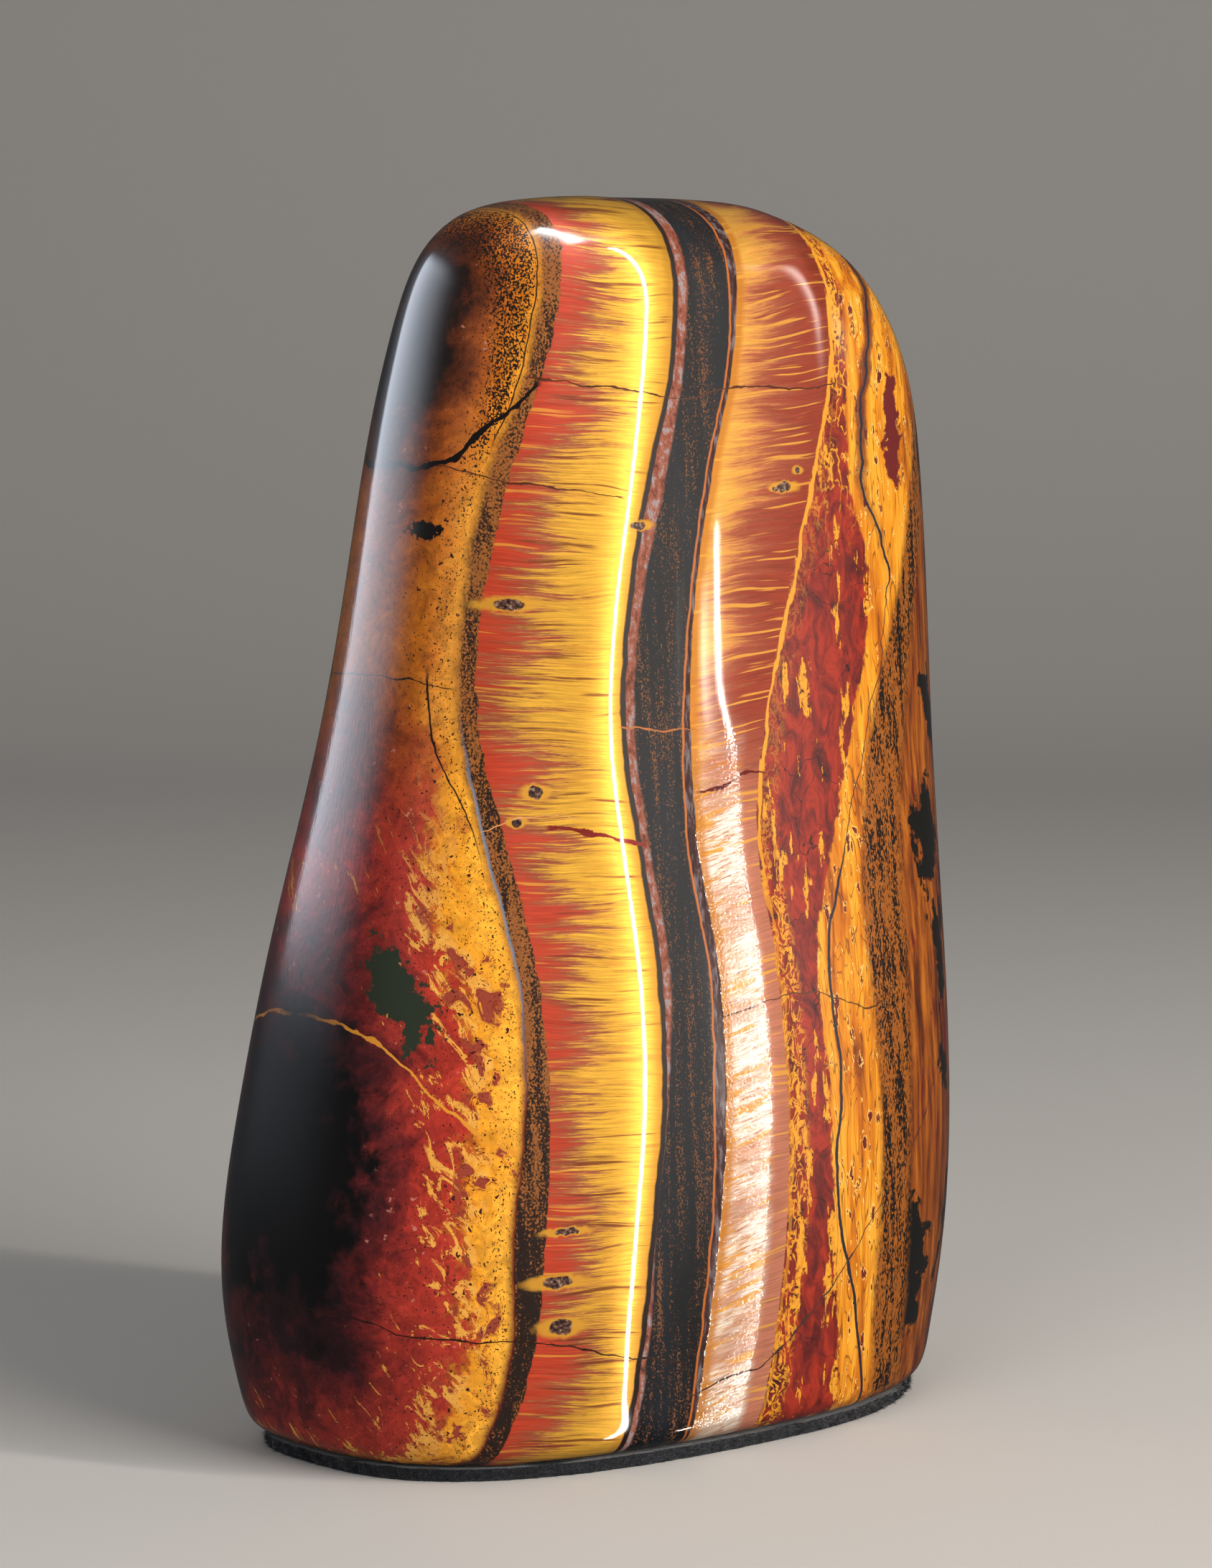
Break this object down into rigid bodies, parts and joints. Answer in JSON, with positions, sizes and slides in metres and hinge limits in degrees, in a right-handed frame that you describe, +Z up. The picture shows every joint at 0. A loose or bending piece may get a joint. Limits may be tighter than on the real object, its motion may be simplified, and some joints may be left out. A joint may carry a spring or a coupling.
{
  "type": "polished tiger's eye slab",
  "caption": "Polished freeform slab of tiger's eye ironstone standing upright on a felt pad, with wavy bands of golden fibre, black hematite and red jasper.",
  "frame": {"origin": "under the middle of the stone, in the plane that the felt pad rests on", "axes": "+Z up; +X along the slab's length from the rounded dark end to the ochre end; -Y out of the banded front face"},
  "size_m": [0.2068, 0.1096, 0.309],
  "materials": {
    "polished_tigers_eye": "polished",
    "black_felt": "matte"
  },
  "bodies": {
    "root": {"stone": "polished_tigers_eye", "felt_pad": "black_felt"}
  },
  "joints": []
}
